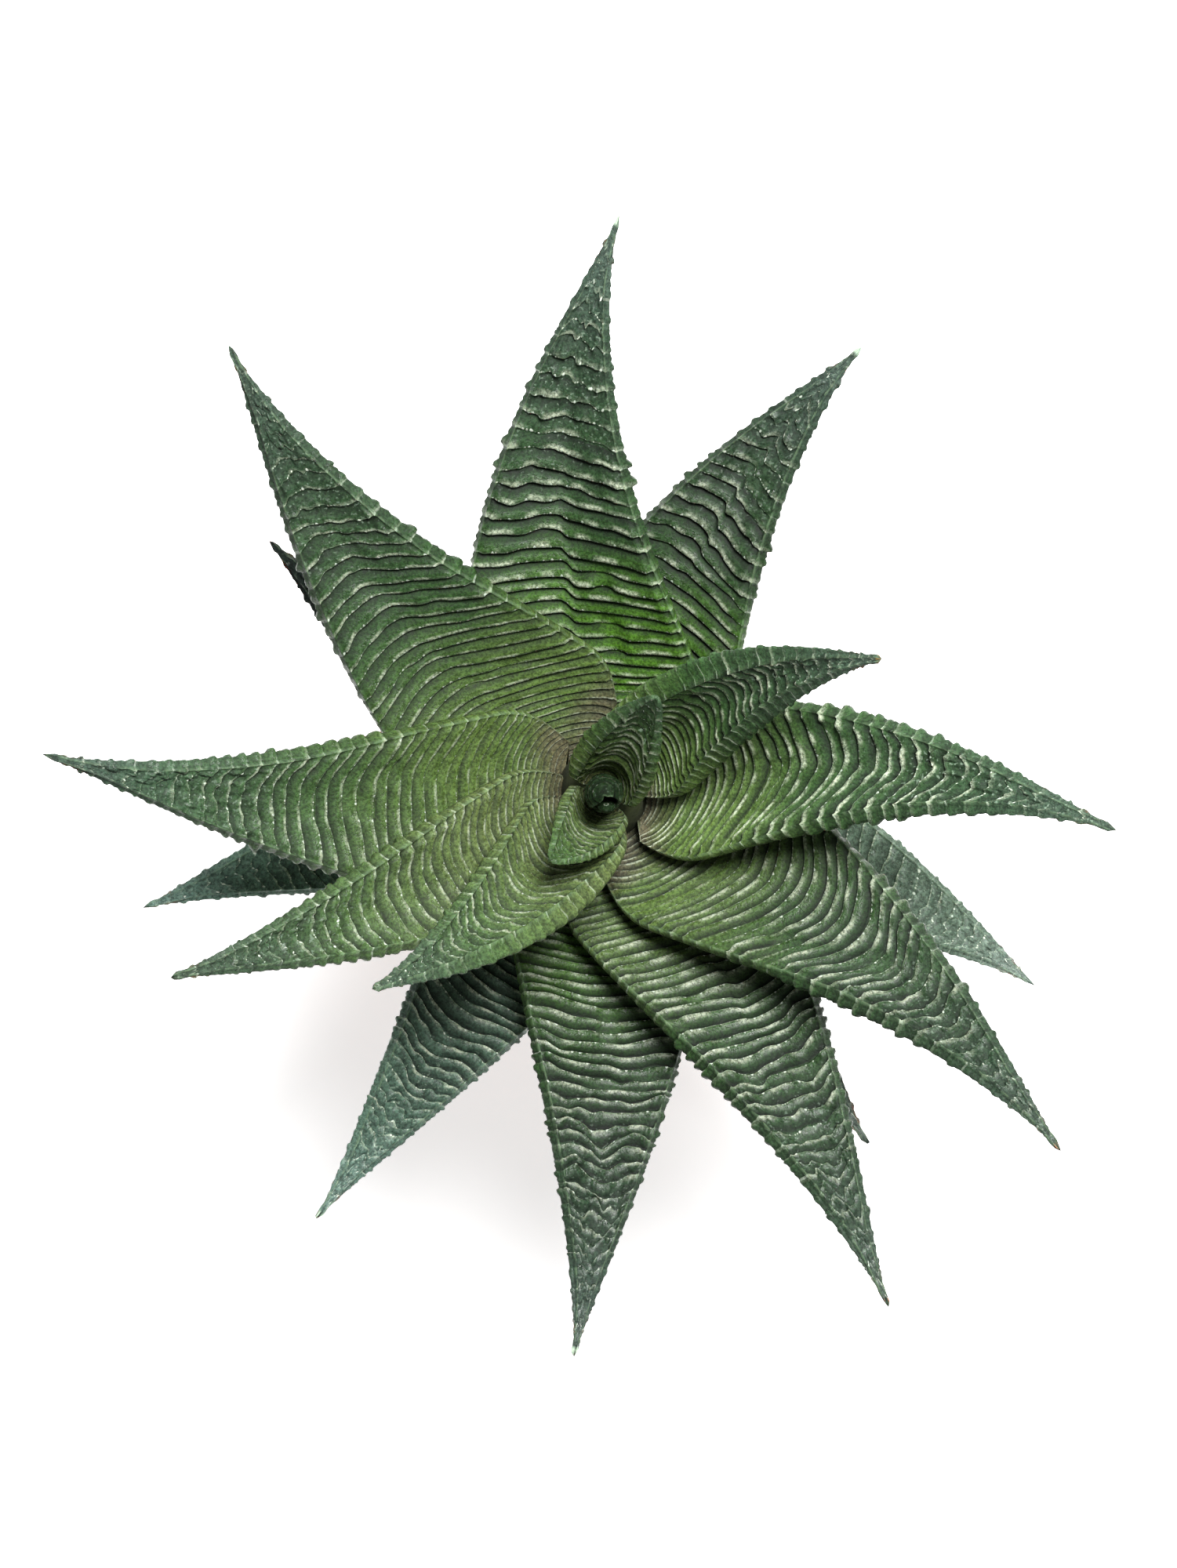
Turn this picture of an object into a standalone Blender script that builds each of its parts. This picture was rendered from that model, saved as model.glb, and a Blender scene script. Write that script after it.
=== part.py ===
"""A washboard-leaved rosette succulent in a small plain terracotta pot.

The rosette has two spiral ranks of leaves on a short stem. Level 0 is the youngest pair of leaves,
round the bud, and each level below it is older, lower and flatter. Units are metres, +Z is up, and the
origin is the centre of the pot's foot on the surface that it stands on.
"""

import math
from collections import namedtuple

import bmesh
import bpy
import numpy as np

MM = 0.001

# Pot: a plain flower pot with a rim band and one drain hole
POT_HEIGHT = 50.0 * MM
POT_TOP_RADIUS = 27.0 * MM
POT_FOOT_RADIUS = 18.5 * MM
POT_WALL = 2.6 * MM
POT_FLOOR = 3.0 * MM
RIM_HEIGHT = 11.0 * MM
RIM_STEP = 1.6 * MM
RIM_TAPER = 0.5 * MM
DRAIN_RADIUS = 4.5 * MM
POT_SIDES = 48
EDGE_ROUND = 0.7 * MM

# Soil and stem
SOIL_TOP = 43.0 * MM
SOIL_CROWN = 1.2 * MM
GAP = 0.3 * MM
STEM_X = 3.5 * MM
STEM_Y = -0.8 * MM
STEM_RADIUS = 6.0 * MM
STEM_SHOULDER = 62.0 * MM
STEM_TOP = 75.5 * MM
ROOT_DEPTH = 14.0 * MM
STEM_SIDES = 20
STEM_TOP_ROWS = 6
ROOT_WAIST = 0.55
ROOT_WAIST_DEPTH = 0.7 * ROOT_DEPTH

# Leaf attachment: height of each level on the stem
TOP_LEVEL_Z = 74.0 * MM
LEVEL_STEP = 2.95 * MM
SPINE_DEPTH = 1.2 * MM

# Leaf outline: width grows from the tip as distance**taper and eases off towards the base
OUTLINE_EASE = 0.25
OUTLINE_BASE = 0.06
BASE_NARROWING = 0.62
BASE_SPAN = 0.16

# Leaf section: a rounded underside below a cupped upper face that opens out towards the tip
EDGE_THICKNESS = 0.5 * MM
SMALLEST_HALF_WIDTH = 0.35 * MM
BELLY_POWER = 0.75
BELLY_AT_BASE = 0.5
BELLY_FULL_AT = 0.3
BELLY_RISE_POWER = 0.8
BELLY_TAPER_POWER = 2.2
CUP_OPENING = 0.45
SECTION_POINTS = 7
LEAF_ROWS = 13
BUD_SECTION_POINTS = 4
BUD_ROWS = 7
ROW_CROWDING = 1.1
LAST_ROW = 0.97

Leaf = namedtuple(
    "Leaf",
    "name level azimuth base_azimuth reach tip_height rise bow width taper cup roll belly",
)
# name, level, tip and base azimuth (degrees), reach of the tip from the stem axis and tip height (mm),
# rise at the base (degrees), sideways bow, width (mm), taper, cup (radians), roll (degrees), belly (mm)
LEAVES = [
    Leaf("bud_inner", -0.2, 270, 270, 1.7, 85, 84, 0.0, 2.6, 0.70, 1.20, 0, 1.1),
    Leaf("bud_outer", -0.1, 90, 90, 2.3, 89, 84, 0.0, 7.8, 0.60, 2.10, 0, 0.75),
    Leaf("leaf_01", 0.2, 61, 75, 13.5, 98, 66, 0.3, 12.3, 0.80, 1.60, 0, 1.7),
    Leaf("leaf_02", 0.2, 231, 243, 10.5, 93, 66, 0.5, 9.5, 0.80, 1.15, 0, 1.6),
    Leaf("leaf_03", 1.6, 26, 45, 37.0, 113, 55, 3.8, 15.5, 1.15, 1.15, 18, 3.0),
    Leaf("leaf_04", 1.6, 220, 235, 36.5, 112, 56, 2.8, 15.5, 1.15, 1.05, 14, 3.0),
    Leaf("leaf_05", 2.7, 356, 345, 62.5, 106, 42, 5.8, 20, 1.25, 0.75, -4, 4.0),
    Leaf("leaf_06", 2.6, 203, 205, 57.5, 104, 42, 2.2, 17, 1.15, 0.70, -4, 4.0),
    Leaf("leaf_07", 3.7, 322, 308, 71.5, 98, 34, 5.2, 25, 1.30, 0.55, -8, 4.2),
    Leaf("leaf_08", 3.6, 176, 178, 69.5, 98, 35, 3.9, 24.5, 1.35, 0.50, -8, 4.6),
    Leaf("leaf_09", 4.8, 299, 284, 73.5, 88, 28, 3.0, 26, 1.30, 0.40, -9, 4.4),
    Leaf("leaf_10", 4.6, 130, 136, 73.0, 90, 30, 4.7, 28.5, 1.35, 0.35, -9, 4.8),
    Leaf("leaf_11", 5.7, 267, 262, 71.5, 79, 24, 2.4, 26, 1.25, 0.30, -8, 4.6),
    Leaf("leaf_12", 5.6, 88.5, 85, 73.0, 82, 26, 6.4, 30, 1.30, 0.25, -8, 4.8),
    Leaf("leaf_13", 6.6, 236, 236, 66.0, 69, 18, 0.8, 22, 1.20, 0.30, -8, 4.4),
    Leaf("leaf_14", 6.6, 60, 62, 66.0, 72, 20, 4.6, 24, 1.20, 0.30, -8, 4.6),
    Leaf("leaf_15", 7.4, 194, 188, 61.5, 64, 16, -1.3, 19.5, 1.20, 0.30, -8, 4.0),
    Leaf("leaf_16", 7.5, 336, 334, 61.0, 67, 17, 3.5, 23, 1.20, 0.30, -8, 3.8),
    Leaf("leaf_17", 8.4, 143, 145, 54.5, 61, 16, 2.0, 19, 1.20, 0.30, -8, 3.6),
    Leaf("leaf_18", 8.5, 307, 300, 57.0, 62, 17, 1.5, 17, 1.20, 0.30, -8, 3.1),
]


def clear_scene():
    for obj in list(bpy.data.objects):
        bpy.data.objects.remove(obj)


def material(name, colour, roughness):
    made = bpy.data.materials.new(name)
    made.use_nodes = True
    shader = made.node_tree.nodes["Principled BSDF"]
    shader.inputs["Base Color"].default_value = (*colour, 1.0)
    shader.inputs["Roughness"].default_value = roughness
    shader.inputs["Metallic"].default_value = 0.0
    return made


def collection(name):
    made = bpy.data.collections.new(name)
    bpy.context.scene.collection.children.link(made)
    return made


def add_mesh(name, mesh, group, finish):
    mesh.name = name
    obj = bpy.data.objects.new(name, mesh)
    group.objects.link(obj)
    mesh.materials.append(finish)
    mesh.shade_smooth()
    mesh.set_sharp_from_angle(angle=math.radians(40))
    return obj


def turned(name, profile, sides, group, finish, x=0.0, y=0.0):
    """A solid of revolution: the profile's points are (radius, height), outer side first, top to bottom."""
    mesh = bpy.data.meshes.new(name)
    points = [(r, 0.0, z) for r, z in profile]
    edges = [(i, i + 1) for i in range(len(points) - 1)]
    if profile[0][0] > 0.0:
        edges.append((len(points) - 1, 0))
    mesh.from_pydata(points, edges, [])
    obj = add_mesh(name, mesh, group, finish)
    obj.location = (x, y, 0.0)
    screw = obj.modifiers.new("Turn", "SCREW")
    screw.steps = sides
    screw.render_steps = sides
    screw.use_merge_vertices = True
    screw.merge_threshold = 0.00001
    screw.use_normal_calculate = True
    return obj


def leaf_origin(leaf):
    """Where the leaf's spine starts, inside the stem."""
    angle = math.radians(leaf.base_azimuth)
    z = TOP_LEVEL_Z - leaf.level * LEVEL_STEP
    start = max(stem_radius(z) - SPINE_DEPTH, SPINE_DEPTH)
    return np.array([STEM_X + start * math.cos(angle), STEM_Y + start * math.sin(angle), z])


def stem_radius(z):
    """The stem is a cylinder up to its shoulder and a half ellipse above it."""
    if z <= STEM_SHOULDER:
        return STEM_RADIUS
    share = min(1.0, (z - STEM_SHOULDER) / (STEM_TOP - STEM_SHOULDER))
    return STEM_RADIUS * math.sqrt(1.0 - share * share)


def spine_controls(leaf):
    """The three control points of the leaf's spine, a quadratic curve in space."""
    start = leaf_origin(leaf)
    angle = math.radians(leaf.azimuth)
    tip = np.array(
        [
            STEM_X + leaf.reach * MM * math.cos(angle),
            STEM_Y + leaf.reach * MM * math.sin(angle),
            leaf.tip_height * MM,
        ]
    )
    chord = tip - start
    half_length = 0.5 * np.linalg.norm(chord)
    outward = np.array([chord[0], chord[1], 0.0]) / math.hypot(chord[0], chord[1])
    sideways = np.cross([0.0, 0.0, 1.0], outward)
    rise = math.radians(leaf.rise)
    middle = start + half_length * math.cos(rise) * outward + 2 * leaf.bow * MM * sideways
    middle[2] = start[2] + half_length * math.sin(rise)
    return start, middle, tip


def spine_point(controls, u):
    a, b, c = controls
    return (1 - u) ** 2 * a + 2 * u * (1 - u) * b + u * u * c


def spine_frame(controls, u, roll):
    """Unit vectors along the leaf, across it towards its anticlockwise margin, and out of its upper face."""
    a, b, c = controls
    along = (1 - u) * (b - a) + u * (c - b)
    along = along / np.linalg.norm(along)
    across = np.cross([0.0, 0.0, 1.0], along)
    across = across / np.linalg.norm(across)
    up = np.cross(along, across)
    turn = math.radians(roll)
    return (
        along,
        across * math.cos(turn) + up * math.sin(turn),
        up * math.cos(turn) - across * math.sin(turn),
    )


def outline(leaf, u):
    """Half the leaf's width at u, from 0 at the base to 1 at the tip."""
    s = 1.0 - u
    peak_s = leaf.taper * (1 + OUTLINE_BASE) / (leaf.taper + OUTLINE_EASE)
    peak = peak_s**leaf.taper * (1 + OUTLINE_BASE - peak_s) ** OUTLINE_EASE
    shape = s**leaf.taper * (1 + OUTLINE_BASE - s) ** OUTLINE_EASE / peak
    narrow = 1.0 - (1.0 - BASE_NARROWING) * max(0.0, 1.0 - u / BASE_SPAN) ** 2
    return 0.5 * leaf.width * MM * shape * narrow


def belly(leaf, u):
    """The leaf's thickness at its middle: thin at the base, full by a third of the way, then tapering."""
    rise = BELLY_AT_BASE + (1 - BELLY_AT_BASE) * min(1.0, u / BELLY_FULL_AT) ** BELLY_RISE_POWER
    return leaf.belly * MM * rise * (1.0 - u**BELLY_TAPER_POWER)


def section(leaf, u, count):
    """The closed outline of the leaf's cross-section, as (across, up) pairs: upper face, then underside."""
    half = max(outline(leaf, u), SMALLEST_HALF_WIDTH)
    cup = leaf.cup * (1.0 - CUP_OPENING * u)
    deep = max(belly(leaf, u), EDGE_THICKNESS)
    points = []
    for i in range(count):
        angle = cup * (2.0 * i / (count - 1) - 1.0)
        points.append((half * math.sin(angle) / cup, half * (1 - math.cos(angle)) / cup))
    for i in range(count):
        w = (i + 0.5) / count
        angle = cup * math.cos(math.pi * w)
        drop = EDGE_THICKNESS + (deep - EDGE_THICKNESS) * math.sin(math.pi * w) ** BELLY_POWER
        points.append(
            (
                half * math.sin(angle) / cup + drop * math.sin(angle),
                half * (1 - math.cos(angle)) / cup - drop * math.cos(angle),
            )
        )
    return points


def leaf_mesh(leaf):
    """The leaf as a loft between its sections, closed with a cap at the base and a point at the tip."""
    in_bud = leaf.name.startswith("bud")
    rows = BUD_ROWS if in_bud else LEAF_ROWS
    points = BUD_SECTION_POINTS if in_bud else SECTION_POINTS
    controls = spine_controls(leaf)
    bm = bmesh.new()
    rings = []
    for row in range(rows):
        u = LAST_ROW * (row / (rows - 1)) ** ROW_CROWDING
        centre = spine_point(controls, u)
        _, across, up = spine_frame(controls, u, leaf.roll)
        ring = [bm.verts.new(centre + across * x + up * z) for x, z in section(leaf, u, points)]
        rings.append(ring)
    count = len(rings[0])
    for lower, upper in zip(rings, rings[1:]):
        for i in range(count):
            j = (i + 1) % count
            bm.faces.new((lower[i], lower[j], upper[j], upper[i]))
    bm.faces.new(reversed(rings[0]))
    _, _, up = spine_frame(controls, 1.0, leaf.roll)
    tip = bm.verts.new(spine_point(controls, 1.0) - up * EDGE_THICKNESS / 2)
    for i in range(count):
        bm.faces.new((rings[-1][i], rings[-1][(i + 1) % count], tip))
    bmesh.ops.recalc_face_normals(bm, faces=bm.faces)
    mesh = bpy.data.meshes.new(leaf.name)
    bm.to_mesh(mesh)
    bm.free()
    return mesh


def cut(obj, cutter):
    difference = obj.modifiers.new("Cut by " + cutter.name, "BOOLEAN")
    difference.operation = "DIFFERENCE"
    difference.solver = "EXACT"
    difference.object = cutter


def pot_inner_radius(z):
    """The pot's inner wall is a cone from its floor up to its rim."""
    foot = POT_FOOT_RADIUS - POT_WALL
    top = POT_TOP_RADIUS - RIM_STEP - POT_WALL
    return foot + (top - foot) * (z - POT_FLOOR) / (POT_HEIGHT - POT_FLOOR)


def pot_profile():
    shelf = POT_HEIGHT - RIM_HEIGHT
    below_rim = POT_TOP_RADIUS - RIM_STEP - RIM_TAPER
    return [
        (POT_TOP_RADIUS - EDGE_ROUND, POT_HEIGHT),
        (POT_TOP_RADIUS, POT_HEIGHT - EDGE_ROUND),
        (POT_TOP_RADIUS - RIM_TAPER, shelf + EDGE_ROUND),
        (POT_TOP_RADIUS - RIM_TAPER - EDGE_ROUND, shelf),
        (below_rim, shelf),
        (POT_FOOT_RADIUS, EDGE_ROUND),
        (POT_FOOT_RADIUS - EDGE_ROUND, 0.0),
        (DRAIN_RADIUS, 0.0),
        (DRAIN_RADIUS, POT_FLOOR),
        (pot_inner_radius(POT_FLOOR), POT_FLOOR),
        (pot_inner_radius(POT_HEIGHT - EDGE_ROUND), POT_HEIGHT - EDGE_ROUND),
        (pot_inner_radius(POT_HEIGHT) + EDGE_ROUND, POT_HEIGHT),
    ]


def soil_profile():
    top_radius = pot_inner_radius(SOIL_TOP) - GAP
    return [
        (0.0, SOIL_TOP + SOIL_CROWN),
        (0.5 * top_radius, SOIL_TOP + 0.75 * SOIL_CROWN),
        (top_radius, SOIL_TOP),
        (pot_inner_radius(POT_FLOOR) - GAP, POT_FLOOR + GAP),
        (0.0, POT_FLOOR + GAP),
    ]


def stem_profile(grow):
    """The stem from its rounded top down to the tapering root crown, made larger all round by grow."""
    height = STEM_TOP - STEM_SHOULDER + grow
    profile = [(0.0, STEM_SHOULDER + height)]
    for i in range(1, STEM_TOP_ROWS):
        angle = math.pi / 2 * (1 - i / (STEM_TOP_ROWS - 1))
        profile.append(((STEM_RADIUS + grow) * math.cos(angle), STEM_SHOULDER + height * math.sin(angle)))
    profile.append((STEM_RADIUS + grow, SOIL_TOP))
    profile.append((ROOT_WAIST * STEM_RADIUS + grow, SOIL_TOP - ROOT_WAIST_DEPTH))
    profile.append((0.0, SOIL_TOP - ROOT_DEPTH - grow))
    return profile


def main():
    clear_scene()
    plant = collection("potted_rosette_succulent")
    cutters = collection("cutters")
    terracotta = material("terracotta", (0.52, 0.24, 0.13), 0.85)
    soil = material("soil", (0.07, 0.05, 0.035), 0.95)
    bark = material("stem_tissue", (0.32, 0.34, 0.18), 0.7)
    leaf_green = material("leaf_green", (0.07, 0.15, 0.06), 0.4)

    turned("pot", pot_profile(), POT_SIDES, plant, terracotta)
    earth = turned("soil", soil_profile(), POT_SIDES, plant, soil)
    turned("stem", stem_profile(0.0), STEM_SIDES, plant, bark, STEM_X, STEM_Y)
    clearance = turned("stem_clearance", stem_profile(GAP), STEM_SIDES, cutters, bark, STEM_X, STEM_Y)
    clearance.hide_render = True
    clearance.display_type = "WIRE"
    cut(earth, clearance)
    for leaf in LEAVES:
        cut(add_mesh(leaf.name, leaf_mesh(leaf), plant, leaf_green), clearance)


main()
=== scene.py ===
import math
from collections import namedtuple

import bmesh
import bpy
import numpy as np
from mathutils import Matrix, Vector


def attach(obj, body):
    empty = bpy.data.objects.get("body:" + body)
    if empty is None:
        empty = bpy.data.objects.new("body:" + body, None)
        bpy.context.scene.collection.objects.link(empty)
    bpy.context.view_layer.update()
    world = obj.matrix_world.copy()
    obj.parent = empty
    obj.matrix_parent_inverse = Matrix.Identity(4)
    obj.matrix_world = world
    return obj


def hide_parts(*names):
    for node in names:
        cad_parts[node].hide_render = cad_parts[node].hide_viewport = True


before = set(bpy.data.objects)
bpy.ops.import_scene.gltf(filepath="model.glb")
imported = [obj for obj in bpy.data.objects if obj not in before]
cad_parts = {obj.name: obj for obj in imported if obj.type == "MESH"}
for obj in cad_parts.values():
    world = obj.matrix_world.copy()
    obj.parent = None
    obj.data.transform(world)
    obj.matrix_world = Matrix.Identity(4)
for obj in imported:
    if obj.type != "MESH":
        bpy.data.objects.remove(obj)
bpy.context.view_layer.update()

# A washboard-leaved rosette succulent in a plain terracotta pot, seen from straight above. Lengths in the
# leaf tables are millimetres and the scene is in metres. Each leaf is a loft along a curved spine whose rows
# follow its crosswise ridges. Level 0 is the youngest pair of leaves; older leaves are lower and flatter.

MM = 0.001

# Camera: straight above the plant
CAMERA_X = 1.55 * MM
CAMERA_Y = 0.4 * MM
CAMERA_HEIGHT = 775.0 * MM
LENS = 126.0

# The pot and the plant's build, the same as in the CAD
POT_HEIGHT = 50.0
POT_TOP_RADIUS = 27.0
POT_FOOT_RADIUS = 18.5
POT_WALL = 2.6
POT_FLOOR = 3.0
RIM_HEIGHT = 11.0
RIM_STEP = 1.6
RIM_TAPER = 0.5
DRAIN_RADIUS = 4.5
SOIL_TOP = 43.0
SOIL_CROWN = 1.2
SOIL_RADIUS = 21.4
GAP = 0.3
GRAINS = 900
SHEATHS = 16
STEM_X = 3.5
STEM_Y = -0.8
STEM_RADIUS = 6.0
STEM_SHOULDER = 62.0
STEM_TOP = 75.5
TOP_LEVEL_Z = 74.0
LEVEL_STEP = 2.95
SPINE_DEPTH = 1.2
OUTLINE_EASE = 0.25
OUTLINE_BASE = 0.06
BASE_NARROWING = 0.62
BASE_SPAN = 0.16
EDGE_THICKNESS = 0.5
SMALLEST_HALF_WIDTH = 0.35
BELLY_POWER = 0.75
BELLY_AT_BASE = 0.5
BELLY_FULL_AT = 0.3
BELLY_RISE_POWER = 0.8
BELLY_TAPER_POWER = 2.2
CUP_OPENING = 0.45

Leaf = namedtuple(
    "Leaf",
    "name level azimuth base_azimuth reach tip_height rise bow width taper cup roll belly",
)
LEAVES = [
    Leaf("bud_inner", -0.2, 270, 270, 1.7, 85, 84, 0.0, 2.6, 0.70, 1.20, 0, 1.1),
    Leaf("bud_outer", -0.1, 90, 90, 2.3, 89, 84, 0.0, 7.8, 0.60, 2.10, 0, 0.75),
    Leaf("leaf_01", 0.2, 61, 75, 13.5, 98, 66, 0.3, 12.3, 0.80, 1.60, 0, 1.7),
    Leaf("leaf_02", 0.2, 231, 243, 10.5, 93, 66, 0.5, 9.5, 0.80, 1.15, 0, 1.6),
    Leaf("leaf_03", 1.6, 26, 45, 37.0, 113, 55, 3.8, 15.5, 1.15, 1.15, 18, 3.0),
    Leaf("leaf_04", 1.6, 220, 235, 36.5, 112, 56, 2.8, 15.5, 1.15, 1.05, 14, 3.0),
    Leaf("leaf_05", 2.7, 356, 345, 62.5, 106, 42, 5.8, 20, 1.25, 0.75, -4, 4.0),
    Leaf("leaf_06", 2.6, 203, 205, 57.5, 104, 42, 2.2, 17, 1.15, 0.70, -4, 4.0),
    Leaf("leaf_07", 3.7, 322, 308, 71.5, 98, 34, 5.2, 25, 1.30, 0.55, -8, 4.2),
    Leaf("leaf_08", 3.6, 176, 178, 69.5, 98, 35, 3.9, 24.5, 1.35, 0.50, -8, 4.6),
    Leaf("leaf_09", 4.8, 299, 284, 73.5, 88, 28, 3.0, 26, 1.30, 0.40, -9, 4.4),
    Leaf("leaf_10", 4.6, 130, 136, 73.0, 90, 30, 4.7, 28.5, 1.35, 0.35, -9, 4.8),
    Leaf("leaf_11", 5.7, 267, 262, 71.5, 79, 24, 2.4, 26, 1.25, 0.30, -8, 4.6),
    Leaf("leaf_12", 5.6, 88.5, 85, 73.0, 82, 26, 6.4, 30, 1.30, 0.25, -8, 4.8),
    Leaf("leaf_13", 6.6, 236, 236, 66.0, 69, 18, 0.8, 22, 1.20, 0.30, -8, 4.4),
    Leaf("leaf_14", 6.6, 60, 62, 66.0, 72, 20, 4.6, 24, 1.20, 0.30, -8, 4.6),
    Leaf("leaf_15", 7.4, 194, 188, 61.5, 64, 16, -1.3, 19.5, 1.20, 0.30, -8, 4.0),
    Leaf("leaf_16", 7.5, 336, 334, 61.0, 67, 17, 3.5, 23, 1.20, 0.30, -8, 3.8),
    Leaf("leaf_17", 8.4, 143, 145, 54.5, 61, 16, 2.0, 19, 1.20, 0.30, -8, 3.6),
    Leaf("leaf_18", 8.5, 307, 300, 57.0, 62, 17, 1.5, 17, 1.20, 0.30, -8, 3.1),
]

# Skin: apex is where across the leaf (-1 clockwise margin, 1 anticlockwise) the ridges reach furthest
# towards the tip, and the sweeps are the angles (degrees) at which they fall back to either margin. The
# flanks are how far the bevelled side bands stand out past the two margins, and fold is the angle (degrees)
# by which either half of the upper face rises from the middle.
# light is painted light and shade: each leaf's colours are made that many times as bright, lighter or darker to stand
# in for how much light reaches the leaf.
Skin = namedtuple("Skin", "pitch steep apex sweep_cw sweep_ccw wave jog flank_cw flank_ccw bands_from fold tone light")
SKINS = {
    "bud_inner": Skin(0.7, 0.20, 0.0, 10, 10, 0.05, 0.0, 0.0, 0.0, 0.0, 0, "bud", 0.7),
    "bud_outer": Skin(0.8, 0.36, 0.0, 10, 10, 0.05, 0.0, 0.15, 0.15, 0.0, 0, "bud", 0.5),
    "leaf_01": Skin(1.7, 0.42, 0.1, 35, 35, 0.15, 0.0, 0.38, 1.2, 0.0, 0, "heart", 1.2),
    "leaf_02": Skin(1.3, 0.40, 0.0, 25, 25, 0.12, 0.0, 0.3, 0.3, 0.05, 0, "fresh", 0.66),
    "leaf_03": Skin(1.8, 0.38, 0.2, 30, 35, 0.15, 0.0, 1.27, 1.8, 0.0, 0, "mid", 1.27),
    "leaf_04": Skin(1.9, 0.35, 0.0, 42, 42, 0.15, 0.0, 0.4, 1.35, 0.05, 0, "young", 0.73),
    "leaf_05": Skin(2.1, 0.40, 0.15, 50, 22, 0.20, 0.0, 0.85, 0.6, 0.28, 0, "mid", 1.13),
    "leaf_06": Skin(1.9, 0.32, -0.2, 35, 18, 0.18, 0.0, 0.4, 0.45, 0.28, 0, "young", 0.7),
    "leaf_07": Skin(2.0, 0.40, 0.1, 44, 42, 0.20, 0.0, 0.9, 0.68, 0.3, 0, "mid", 0.75),
    "leaf_08": Skin(2.0, 0.30, -0.3, 42, 14, 0.18, 0.0, 0.8, 0.4, 0.3, 0, "pale", 0.75),
    "leaf_09": Skin(1.85, 0.40, 0.45, 14, 30, 0.3, 0.35, 0.75, 0.6, 0.2, 4, "mid", 0.71),
    "leaf_10": Skin(2.05, 0.29, 0.35, 38, 14, 0.26, 0.2, 0.75, 0.6, 0.25, 5, "mid", 0.82),
    "leaf_11": Skin(1.6, 0.40, 0.0, 12, 12, 0.35, 0.2, 0.6, 0.6, 0.25, 3, "dark", 0.72),
    "leaf_12": Skin(2.25, 0.40, 0.45, 10, 8, 0.32, 0.5, 0.6, 0.6, 0.25, 13, "dark", 0.98),
    "leaf_13": Skin(1.5, 0.34, 0.0, 20, 15, 0.25, 0.0, 0.6, 0.6, 0.25, 3, "outer", 2.5),
    "leaf_14": Skin(2.1, 0.40, 0.3, 18, 12, 0.25, 0.4, 0.6, 0.6, 0.25, 6, "dark", 0.77),
    "leaf_15": Skin(1.9, 0.24, 0.0, 15, 15, 0.25, 0.0, 0.6, 0.6, 0.25, 0, "outer", 3.7),
    "leaf_16": Skin(1.9, 0.2, 0.0, 15, 15, 0.25, 0.0, 0.6, 0.6, 0.25, 0, "grey", 1.4),
    "leaf_17": Skin(1.9, 0.28, 0.0, 15, 15, 0.25, 0.0, 0.6, 0.6, 0.25, 0, "outer", 0.6),
    "leaf_18": Skin(1.9, 0.2, 0.0, 15, 15, 0.25, 0.0, 0.6, 0.6, 0.25, 0, "grey", 0.85),
}

# Where rows lie within one ridge, counted from its steep side, which faces the leaf's base
ROWS_IN_RIDGE = (0.0, 0.06, 0.12, 0.22, 0.38, 0.56, 0.74, 0.89)
CREST = 0.13
FALL_POWER = 2.1
UPPER_POINTS = 52
LOWER_POINTS = 22
SMALL_LEAF = 13.0
SMALL_LEAF_SHARE = 0.6
FLANK_AT = 0.10
APEX_ROUNDING = 0.28
LAST_ROW = 0.985
BUD_SLIT = math.radians(-80.0)
BUD_HEIGHTS = {"bud_outer": (72.0, 85.0, 88.2), "bud_inner": (74.6, 84.6, 86.2)}


def smoothstep(x, low, high):
    t = np.clip((x - low) / (high - low), 0.0, 1.0)
    return t * t * (3 - 2 * t)


def bell(x, middle, width):
    return np.exp(-(((x - middle) / width) ** 2))


def hashed(*values):
    """A repeatable value from 0 to 1 for each whole-number cell."""
    total = sum(np.asarray(v, dtype=float) * k for v, k in zip(values, (12.9898, 78.233, 37.719)))
    return np.mod(np.sin(total) * 43758.5453, 1.0)


def noise(x, y, seed):
    """Smooth noise from -1 to 1 on a unit grid."""
    x0, y0 = np.floor(x), np.floor(y)
    tx, ty = x - x0, y - y0
    tx = tx * tx * (3 - 2 * tx)
    ty = ty * ty * (3 - 2 * ty)
    a = hashed(x0, y0, seed) * (1 - tx) + hashed(x0 + 1, y0, seed) * tx
    b = hashed(x0, y0 + 1, seed) * (1 - tx) + hashed(x0 + 1, y0 + 1, seed) * tx
    return 2 * (a * (1 - ty) + b * ty) - 1


def stem_radius(z):
    if z <= STEM_SHOULDER:
        return STEM_RADIUS
    share = min(1.0, (z - STEM_SHOULDER) / (STEM_TOP - STEM_SHOULDER))
    return STEM_RADIUS * math.sqrt(1.0 - share * share)


def spine_controls(leaf):
    """The three control points of the leaf's spine, a quadratic curve in space."""
    angle = math.radians(leaf.base_azimuth)
    z = TOP_LEVEL_Z - leaf.level * LEVEL_STEP
    out = max(stem_radius(z) - SPINE_DEPTH, SPINE_DEPTH)
    start = np.array([STEM_X + out * math.cos(angle), STEM_Y + out * math.sin(angle), z])
    angle = math.radians(leaf.azimuth)
    tip = np.array(
        [STEM_X + leaf.reach * math.cos(angle), STEM_Y + leaf.reach * math.sin(angle), leaf.tip_height]
    )
    chord = tip - start
    half_length = 0.5 * np.linalg.norm(chord)
    outward = np.array([chord[0], chord[1], 0.0]) / math.hypot(chord[0], chord[1])
    sideways = np.cross([0.0, 0.0, 1.0], outward)
    rise = math.radians(leaf.rise)
    middle = start + half_length * math.cos(rise) * outward + 2 * leaf.bow * sideways
    middle[2] = start[2] + half_length * math.sin(rise)
    return start, middle, tip


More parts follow.
